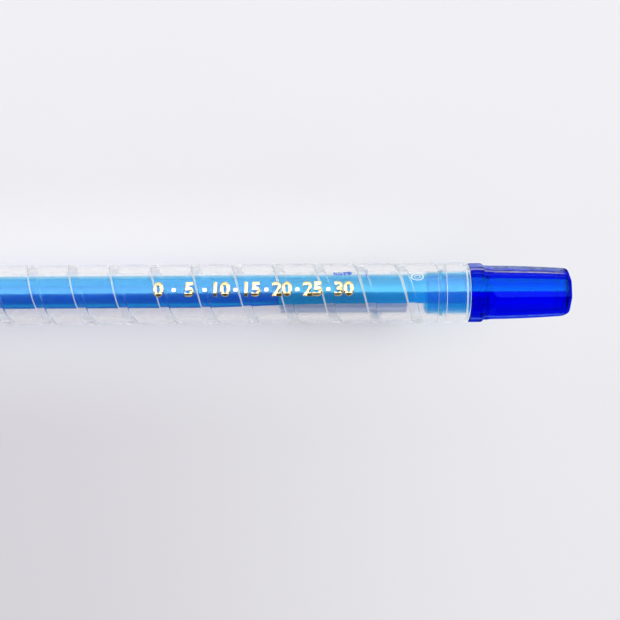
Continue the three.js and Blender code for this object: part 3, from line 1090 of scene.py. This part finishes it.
@dataclass
class NoseCone:
    """Front cone of blue plastic, snapped into the barrel, with a long mouth round the lead."""

    bead: SnapBead = SnapBead()
    tip_radius: float = 2.35
    shoulder_radius: float = 4.9
    shoulder_gap: float = 0.06
    bulge: float = 0.28
    mouth_radius: float = 1.71
    mouth_chamfer: float = 0.15
    mouth_length: float = 4.0
    spigot_radius: float = 3.59
    wall: float = 1.1
    snap_inset: float = 3.0
    edge: float = 0.3
    rounding: float = 0.14

    def build(self) -> None:
        """Builds and dresses the nose. Its slope is a straight line plus 4 s (1 - s) times the bulge."""
        tip, spigot_end = span_of("nose_cone")
        barrel_front, edge = span_of("barrel")[0], self.edge
        shoulder, bore = barrel_front - self.shoulder_gap, self.spigot_radius - self.wall
        share = np.linspace(0.1, 0.9, 9)
        slope_x = tip + edge + share * (shoulder - tip - edge)
        slope_r = self.tip_radius + share * (self.shoulder_radius - self.tip_radius)
        slope_r = slope_r + 4 * self.bulge * share * (1 - share)
        corners = [
            (tip, self.mouth_radius + self.mouth_chamfer),
            (tip, self.tip_radius - edge),
            (tip + edge, self.tip_radius),
            *zip(slope_x.tolist(), slope_r.tolist()),
            (shoulder, self.shoulder_radius),
            (shoulder, self.spigot_radius),
            *self.bead.corners(barrel_front + self.snap_inset, self.spigot_radius),
            (spigot_end - edge, self.spigot_radius),
            (spigot_end, self.spigot_radius - edge),
            (spigot_end, bore),
            (shoulder + self.shoulder_gap, bore),
            (tip + self.mouth_length, self.mouth_radius),
            (tip + edge, self.mouth_radius),
        ]
        skin = Skin().turned(corners, self.rounding, closed=True)
        install(skin.piece("nose_cone_shell", DyedAcrylic().material()), Body.BARREL, "nose_cone")


@dataclass
class TurningTube:
    """Light blue tube, open along one side for the carrier, with a bearing collar in front."""

    radius: float = 3.1
    bore: float = 2.6
    slot_half: float = math.radians(45)
    mouth_half: float = math.radians(57)
    flare_start: float = 45.5
    flare_length: float = 24.0
    collar_length: float = 2.5
    collar_radius: float = 3.5
    collar_bore: float = 2.0
    overlap: float = 0.3
    tail: float = 1.5
    edge: float = 0.3
    lip: float = 0.2
    rounding: Pair = (0.08, 0.1)

    def build(self) -> None:
        """Builds and dresses the tube."""
        front, rear = span_of("slotted_tube")
        rear += self.tail
        flare = rear - self.flare_start
        flare_end, collar_end = flare + self.flare_length, front + self.collar_length
        stations = (flare, *np.linspace(flare, flare_end, 9)[1:].tolist())
        start = collar_end - self.overlap
        loop = hollow_run(start, rear, self.bore, self.radius, self.rounding[0], stations)
        widening = (self.mouth_half - self.slot_half) * smoothstep(flare, flare_end, loop[:, 0])
        opening = self.slot_half + widening
        collar = [
            (front, self.collar_radius - self.edge),
            (front + self.edge, self.collar_radius),
            (collar_end - self.edge, self.collar_radius),
            (collar_end, (self.radius + self.collar_radius) / 2),
            (collar_end, self.collar_bore),
            (front, self.collar_bore),
        ]
        skin = Skin().add(bent_plate(loop, TURN, math.pi - opening, self.lip, 72))
        skin.turned(collar, self.rounding[1], closed=True)
        install(skin.piece("turning_tube", TUBE_FINISH.material()), Body.ROTOR, "slotted_tube")


@dataclass
class DriveSleeve:
    """Light blue sleeve behind the tube, with the snap bead and the eight-sided spigot that turns it."""

    facets: Facets = Facets()
    bead: SnapBead = SnapBead()
    radius: float = 3.5
    seat: float = 3.16
    seat_depth: float = 6.9
    through_bore: float = 1.6
    snap_inset: float = 4.5
    shoulder_gap: float = 0.09
    spigot_corner: float = 3.05
    spigot_cut: float = 1.7
    spigot_root: float = 0.12
    spigot_chamfer: float = 0.15
    edge: float = 0.3
    rounding: float = 0.1

    def build(self) -> None:
        """Builds and dresses the sleeve."""
        front, rear = span_of("drive_sleeve")
        rear -= self.spigot_cut
        barrel_end = span_of("barrel")[1]
        shoulder, seat_end = barrel_end + self.shoulder_gap, front + self.seat_depth
        spigot = self.spigot_corner * self.facets.mean_share()
        corners = [
            (front, self.radius - self.edge / 2, 0),
            (front + self.edge, self.radius, 0),
            *((*row, 0) for row in self.bead.corners(barrel_end - self.snap_inset, self.radius)),
            (shoulder, self.radius, 0),
            (shoulder, spigot + self.spigot_root, 0),
            (shoulder, spigot, 1),
            (rear - self.spigot_chamfer, spigot, 1),
            (rear, spigot - self.spigot_chamfer, 1),
            (rear, self.through_bore, 0),
            (seat_end, self.through_bore, 0),
            (seat_end, self.seat, 0),
            (front, self.seat, 0),
        ]
        skin = Skin().turned(corners, self.rounding, True, self.facets)
        install(skin.piece("drive_sleeve_hub", TUBE_FINISH.material()), Body.ROTOR, "drive_sleeve")


@dataclass
class TailKnob:
    """Blue knob: round flange, eight-sided tapering grip that runs out round at the flange, deep cavity."""

    facets: Facets = Facets()
    flange_length: float = 2.4
    flange_radius: float = 4.9
    flange_edge: float = 0.4
    front_edge: float = 0.125
    root_corner: float = 4.7
    root_rise: float = 0.03
    drop: float = 0.56
    run_out: Pair = (0.5, 1.9)
    run_out_rows: Pair = (2.2, 2.8)
    end_fillet: float = 0.85
    end_angles: tuple[float, ...] = (20, 40, 55, 68, 79, 90)
    end_wall: float = 1.5
    wall: float = 0.55
    cavity_mouth: float = 3.7
    cavity_chamfer: Pair = (0.4, 0.15)
    socket_corner: float = 3.11
    socket_depth: float = 2.75
    socket_mouth: float = 0.35
    rounding: Pair = (0.12, 0.2)

    def grip_rows(self, start: float, end: float) -> Array:
        """Gives the grip's profile from the flange to the middle of its end.

        The corner radius falls by the drop times the square of the share of the length, the end is a quarter
        circle, and the facets' weight rises as a smooth step.

        Args:
            start: Where the grip starts along X.
            end: The knob's end.

        Returns:
            Rows of (x, mean radius, facet weight).
        """
        length, fillet = end - start, self.end_fillet
        root, middle = self.run_out_rows
        bend = length - fillet * (1 - np.sin(np.radians(self.end_angles)))
        along = np.concatenate([np.linspace(0.0, root, 12), np.linspace(middle, length - fillet, 10), bend])
        corner = self.root_corner - self.drop * (along / length) ** 2
        into = np.maximum(0, along - (length - fillet))
        corner = corner - fillet + np.sqrt(np.maximum(0, fillet**2 - into**2))
        weight = smoothstep(*self.run_out, along)
        return np.stack([start + along, corner * self.facets.mean_share(), weight], axis=-1)

    def build(self) -> None:
        """Builds and dresses the knob, with rounder corners in the cavity."""
        front, end = span_of("tail_knob")
        grip_x = front + self.flange_length
        grip = self.grip_rows(grip_x, end)
        share = self.facets.mean_share()
        socket, socket_end = self.socket_corner * share, front + self.socket_depth
        cavity_end = end - self.end_wall
        rear_radius = (self.root_corner - self.drop) * share - self.wall
        flange, edge = self.flange_radius, self.flange_edge
        chamfer_x, chamfer_r = self.cavity_chamfer
        inside = [
            (cavity_end, 0.0, 0),
            (cavity_end, rear_radius, 0),
            (socket_end + chamfer_x, self.cavity_mouth, 0),
            (socket_end, self.cavity_mouth - chamfer_r, 0),
            (socket_end, socket, 1),
        ]
        outside = [
            (front, socket, 1),
            (front, socket + self.socket_mouth, 0),
            (front, flange - self.front_edge, 0),
            (front + self.front_edge, flange, 0),
            (grip_x - edge, flange, 0),
            (grip_x - edge / 3, flange - edge / 3, 0),
            (grip_x, grip[0, 1] + self.root_rise, 0),
        ]
        head = soften(inside + outside, self.rounding[0])
        cavity = soften(inside, self.rounding[1])[:-1]
        profile = np.concatenate([cavity, head[np.argmax(head[:, 2] > 0.99) :], grip, [[end, 0.0, 0.0]]])
        skin = Skin().add(around(profile, self.facets))
        made = skin.piece("tail_knob_shell", DyedAcrylic().material())
        made.visible_shadow = False
        made.visible_diffuse = False
        install(made, Body.ROTOR, "tail_knob")


@dataclass
class LeadCarrier:
    """Milky carrier that grips the lead, with its key in the slot and one lug in the groove."""

    helix: Helix = Helix()
    radius: float = 2.45
    seat: float = 1.56
    seat_depth: float = 15.0
    key_half: float = math.radians(36)
    key_root: float = 2.0
    key_radius: float = 3.2
    lug_half: float = math.radians(14)
    lug_sink: float = 0.2
    lug_radius: float = 4.1
    lug_half_width: float = 0.45
    edge: float = 0.3
    rounding: tuple[float, float, float] = (0.12, 0.2, 0.15)
    lips: Pair = (0.25, 0.2)

    def build(self) -> None:
        """Builds and dresses the carrier."""
        front, rear = span_of("lead_carrier")
        seat_end, edge = front + self.seat_depth, self.edge
        body = [
            (seat_end, 0.0),
            (seat_end, self.seat),
            (front, self.seat),
            (front, self.radius - edge),
            (front + edge, self.radius),
            (rear - edge, self.radius),
            (rear, self.radius - edge),
            (rear, 0.0),
        ]
        body_edge, key_edge, lug_edge = self.rounding
        key = hollow_run(front + edge, rear - edge, self.key_root, self.key_radius, key_edge)
        lug_x, half = self.helix.lug_x, self.lug_half_width
        lug = hollow_run(lug_x - half, lug_x + half, self.radius - self.lug_sink, self.lug_radius, lug_edge)
        skin = Skin().turned(body, body_edge)
        skin.add(bent_plate(key, math.pi, np.full(len(key), self.key_half), self.lips[0], 20))
        reach = np.full(len(lug), self.lug_half)
        skin.add(bent_plate(lug, math.pi, reach, self.lips[1], 10, self.helix.pitch))
        made = skin.piece("lead_carrier_body", CARRIER_FINISH.material())
        install(made, Body.CARRIAGE, "lead_carrier")


@dataclass
class Lead:
    """The 3 mm lead, with a slightly worn tip."""

    radius: float = 1.5
    tip_chamfer: float = 0.25
    rounding: float = 0.15

    def build(self) -> None:
        """Builds and dresses the lead."""
        front, rear = span_of("lead")
        stick = [
            (front, 0.0),
            (front, self.radius - self.tip_chamfer),
            (front + self.tip_chamfer, self.radius),
            (rear, self.radius),
            (rear, 0.0),
        ]
        made = Skin().turned(stick, self.rounding).piece("wax_lead", LEAD_FINISH.material())
        install(made, Body.CARRIAGE, "lead")


@dataclass
class LeadCrumbs:
    """Crumbs of lead that stick to the inside of the barrel.

    Each cluster is (x, degrees from up, spread along x, spread in degrees, count, size).
    """

    wall_radius: float = 3.65
    clearance: float = 0.02
    sink: float = 0.45
    flatness: float = 0.55
    lumpiness: float = 0.3
    sizes: Pair = (0.5, 1.2)
    seed: int = 7
    sharp: float = 60.0
    clusters: tuple[tuple[float, float, float, float, int, float], ...] = (
        (36.6, 50.0, 1.5, 4.0, 46, 0.11),
        (37.3, 51.5, 0.6, 4.0, 22, 0.12),
        (40.45, 54.0, 0.1, 15.0, 18, 0.11),
        (42.6, 50.0, 2.2, 14.0, 12, 0.07),
        (37.0, 46.0, 3.0, 10.0, 8, 0.06),
    )

    def build(self) -> None:
        """Builds and dresses the crumbs.

        Each is a flattened ball, its radius multiplied by 1 + lumpiness sin(3v + p) cos(2u + q), where u and
        v are its angles and p and q its own.
        """
        random = np.random.default_rng(self.seed)
        skin = Skin()
        u = np.linspace(0, math.pi, 7)[:, None]
        v = np.linspace(0, TURN, 10, endpoint=False)[None]
        for x0, degrees, spread_x, spread_degrees, number, size in self.clusters:
            for _ in range(number):
                x = x0 + spread_x * random.uniform(-1, 1)
                angle = math.radians(90 - degrees - spread_degrees * random.uniform(-1, 1))
                scale = size * random.uniform(*self.sizes)
                p, q, stretch = random.uniform(0, 6.28, 3)
                lump = scale * (1 + self.lumpiness * np.sin(3 * v + p) * np.cos(2 * u + q))
                side = lump * np.sin(u) * np.cos(v) * (1 + self.lumpiness * math.sin(stretch))
                across = lump * np.sin(u) * np.sin(v)
                middle = self.wall_radius + self.clearance - self.sink * scale
                radius = middle + self.flatness * lump * np.cos(u)
                skin.add(about_axis(x + side, radius, angle + across / self.wall_radius))
        install(skin.piece("lead_crumbs", CRUMB_FINISH.material(), self.sharp), Body.BARREL)


@dataclass
class FoilScale:
    """A plain length scale in gold foil: numerals, cut across to follow the barrel, and dots between."""

    barrel_radius: float = 5.0
    rise: float = 0.02
    sink: float = 0.015
    centre: float = math.radians(90 - 7.0)
    numeral_height: float = 2.3
    height_share: float = 0.72
    start_x: float = 6.6
    pitch_x: float = 5.0
    values: tuple[int, ...] = (0, 5, 10, 15, 20, 25, 30)
    weight: float = 0.14
    dot_half: float = 0.28
    dot_edge: float = 0.01
    dot_lip: float = 0.02
    cut_reach: float = 1.2
    cuts: int = 13

    def letters(self, value: int) -> Mesh:
        """Makes one numeral's flat mesh, in millimetres.

        Args:
            value: The number.

        Returns:
            The mesh, in the XY plane.
        """
        curve = bpy.data.curves.new(f"numeral_{value}", "FONT")
        curve.body = str(value)
        curve.align_x = "CENTER"
        curve.align_y = "CENTER"
        curve.size = self.numeral_height / self.height_share
        curve.offset = self.weight
        curve.resolution_u = 5
        holder = new_object("numeral_holder", curve)
        bpy.context.view_layer.update()
        mesh = bpy.data.meshes.new_from_object(holder.evaluated_get(bpy.context.evaluated_depsgraph_get()))
        bpy.data.objects.remove(holder)
        return mesh

    def numeral(self, value: int, x: float) -> Mesh:
        """Makes one numeral's solid on the barrel: its angle is the centre less y over the radius.

        Args:
            value: The number.
            x: The numeral's middle along X.

        Returns:
            A curved mesh in metres.
        """
        mesh = self.letters(value)
        work = bmesh.new()
        work.from_mesh(mesh)
        bmesh.ops.remove_doubles(work, verts=work.verts, dist=1e-5)
        for height in np.linspace(-self.cut_reach, self.cut_reach, self.cuts).tolist():
            geometry = work.verts[:] + work.edges[:] + work.faces[:]
            bmesh.ops.bisect_plane(work, geom=geometry, plane_co=(0, height, 0), plane_no=(0, 1, 0))
        raised = bmesh.ops.extrude_face_region(work, geom=work.faces[:])
        top = [part for part in raised["geom"] if isinstance(part, bmesh.types.BMVert)]
        bmesh.ops.translate(work, verts=top, vec=(0, 0, self.rise + self.sink))
        bmesh.ops.recalc_face_normals(work, faces=work.faces)
        work.to_mesh(mesh)
        work.free()
        flat = np.empty(len(mesh.vertices) * 3)
        mesh.vertices.foreach_get("co", flat)
        along, across, up = (flat.reshape(-1, 3) + np.array([x, 0, -self.sink])).T
        solid = about_axis(along, self.barrel_radius + up, self.centre - across / self.barrel_radius)
        mesh.vertices.foreach_set("co", ((solid + np.array([0, 0, AXIS_HEIGHT])) * MM).ravel())
        mesh.update()
        return mesh

    def build(self) -> None:
        """Builds and dresses the scale."""
        skin = Skin()
        half, radius = self.dot_half, self.barrel_radius
        for number in range(len(self.values) - 1):
            x = self.start_x + (number + 0.5) * self.pitch_x
            loop = hollow_run(x - half, x + half, radius - self.sink, radius + self.rise, self.dot_edge)
            skin.add(bent_plate(loop, self.centre, np.full(len(loop), half / radius), self.dot_lip, 10))
        made = skin.piece("gold_scale", FOIL_FINISH.material())
        whole = bmesh.new()
        whole.from_mesh(made.data)
        for number, value in enumerate(self.values):
            mesh = self.numeral(value, self.start_x + number * self.pitch_x)
            whole.from_mesh(mesh)
            bpy.data.meshes.remove(mesh)
        whole.to_mesh(made.data)
        whole.free()
        install(made, Body.BARREL)


# Room


@dataclass
class Studio:
    """Pale floor, one large soft panel over the far side, and a room that is dim on the near side.

    Each panel is (name, near end, far end, level). The room's spans and heights are parts of a unit vector,
    its linear colours what matt surfaces get, and what gloss and glass show near, far, low and in a strip.
    """

    camera_x: float = 31.12
    camera_y: float = -2.73
    camera_height: float = 165.0
    sensor: float = 36.0
    focal_pixels: float = 990.0
    roll: float = math.radians(-0.34)
    floor_radius: float = 3000.0
    panel_height: float = 0.7
    softbox_height: float = 0.85
    lamp_x: float = 0.15
    lamp_width: float = 1.7
    panels: tuple[tuple[str, float, float, float], ...] = (
        ("panel_bright_strip", 0.05, 0.35, 2.3),
        ("panel_far_strip", 0.35, 1.1, 1.7),
    )
    softbox_span: Pair = (0.0, 1.1)
    softbox_level: float = 0.66
    low_span: Pair = (0.02, 0.3)
    near_span: Pair = (0.03, 0.09)
    strip_height: float = 0.16
    strip_half: float = 0.05
    matt_light: Colour = (0.775, 0.77, 0.77, 1.0)
    near_light: Colour = (0.06, 0.06, 0.06, 1.0)
    far_light: Colour = (1.0, 1.0, 1.02, 1.0)
    low_light: Colour = (0.88, 0.88, 0.9, 1.0)
    strip_light: Colour = (2.6, 2.6, 2.6, 1.0)
    backdrop: str = "#ECECF0"

    def floor(self) -> None:
        """Makes the floor, a flat disc of rings about the middle of the object, facing up."""
        radius = np.concatenate([[0.0], np.geomspace(40, self.floor_radius, 24)])[:, None]
        turn = np.linspace(0, TURN, 96, endpoint=False)[None]
        flat = np.stack([radius * np.cos(turn), radius * np.sin(turn), 0 * radius * turn], axis=-1)
        made = Skin(0.0).add(flat).piece("table_top", WhiteTable().material())
        if made.data.polygons[0].normal.z < 0:
            made.data.flip_normals()

    def camera(self) -> None:
        """Makes the camera, straight above the rear part of the object."""
        data = bpy.data.cameras.new("camera")
        data.sensor_width = self.sensor
        data.lens = self.sensor * self.focal_pixels / PICTURE_SIDE
        data.clip_start = 0.005
        data.clip_end = 20.0
        made = new_object("camera", data)
        made.location = (self.camera_x * MM, self.camera_y * MM, (AXIS_HEIGHT + self.camera_height) * MM)
        made.rotation_euler = (0.0, 0.0, self.roll)
        bpy.context.scene.camera = made

    def lamp(self, name: str, near_y: float, far_y: float, height: float, level: float) -> Object:
        """Makes a large soft lamp. Its power is pi times its area times the level that it shows.

        Args:
            name: The lamp's name.
            near_y: Where it starts across the object, in metres.
            far_y: Where it ends across the object, in metres.
            height: Its height above the floor, in metres.
            level: How bright its face looks, where 1 is white.

        Returns:
            The lamp.
        """
        depth = far_y - near_y
        data = bpy.data.lights.new(name, "AREA")
        data.shape = "RECTANGLE"
        data.size = self.lamp_width
        data.size_y = depth
        data.energy = math.pi * self.lamp_width * depth * level
        made = new_object(name, data)
        made.location = (self.lamp_x, (near_y + far_y) / 2, height)
        made.visible_camera = False
        return made

    def lamps(self) -> None:
        """Makes the panels that show in the plastic, over the far side, and the softbox for the rest."""
        for name, near_y, far_y, level in self.panels:
            self.lamp(name, near_y, far_y, self.panel_height, level).visible_diffuse = False
        softbox = self.lamp("softbox", *self.softbox_span, self.softbox_height, self.softbox_level)
        softbox.visible_glossy = False
        softbox.visible_transmission = False

    def room(self) -> None:
        """Makes the world: even light for matt surfaces, and a room with a dim near side in gloss."""
        world = bpy.data.worlds.new("room")
        world.use_nodes = True
        tree = world.node_tree
        tree.nodes.clear()
        _, y, z = parts_of(tree, "Generated").outputs
        low, high = self.low_span
        raised = add_node(tree, "MapRange", {"Value": z, "From Min": low, "From Max": high})
        low, high = self.near_span
        far = add_node(tree, "MapRange", {"Value": y, "From Min": low, "From Max": high})
        band = add_node(tree, "Math", {0: z, 1: self.strip_height, 2: self.strip_half}, operation="COMPARE")
        strip = add_node(tree, "Math", {0: band, 1: far}, operation="MULTIPLY")
        path = add_node(tree, "LightPath", {}).outputs
        rays = {0: path["Is Glossy Ray"], 1: path["Is Transmission Ray"]}
        in_plastic = add_node(tree, "Math", rays, operation="MAXIMUM")
        layers = [
            (far, self.near_light, self.far_light),
            (raised, self.low_light, None),
            (strip, None, self.strip_light),
            (in_plastic, self.matt_light, None),
            (path["Is Camera Ray"], None, linear(self.backdrop)),
        ]
        background = add_node(tree, "Background", {"Color": layered(tree, layers), "Strength": 1.0})
        add_node(tree, "OutputWorld", {"Surface": background})
        bpy.context.scene.world = world

    def build(self) -> None:
        """Builds the whole room."""
        scene = bpy.context.scene
        scene.view_settings.view_transform = "Standard"
        # Clear plastics lie five deep here, so light has to pass more surfaces than Cycles allows at first
        scene.cycles.max_bounces = 40
        scene.cycles.transmission_bounces = 36
        scene.cycles.glossy_bounces = 12
        scene.cycles.transparent_max_bounces = 48
        self.camera()
        self.floor()
        self.lamps()
        self.room()
        log.info("room, floor, lamps and camera are in place")


def main() -> None:
    """Builds the room and every piece of the marking stick, in order."""
    logging.basicConfig(level=logging.INFO, format="%(name)s: %(message)s")
    parts = (Studio, ClearBarrel, GateMark, NoseCone, TurningTube, DriveSleeve, TailKnob, LeadCarrier, Lead)
    for part in (*parts, LeadCrumbs, FoilScale):
        part().build()


if __name__ == "__main__":
    main()
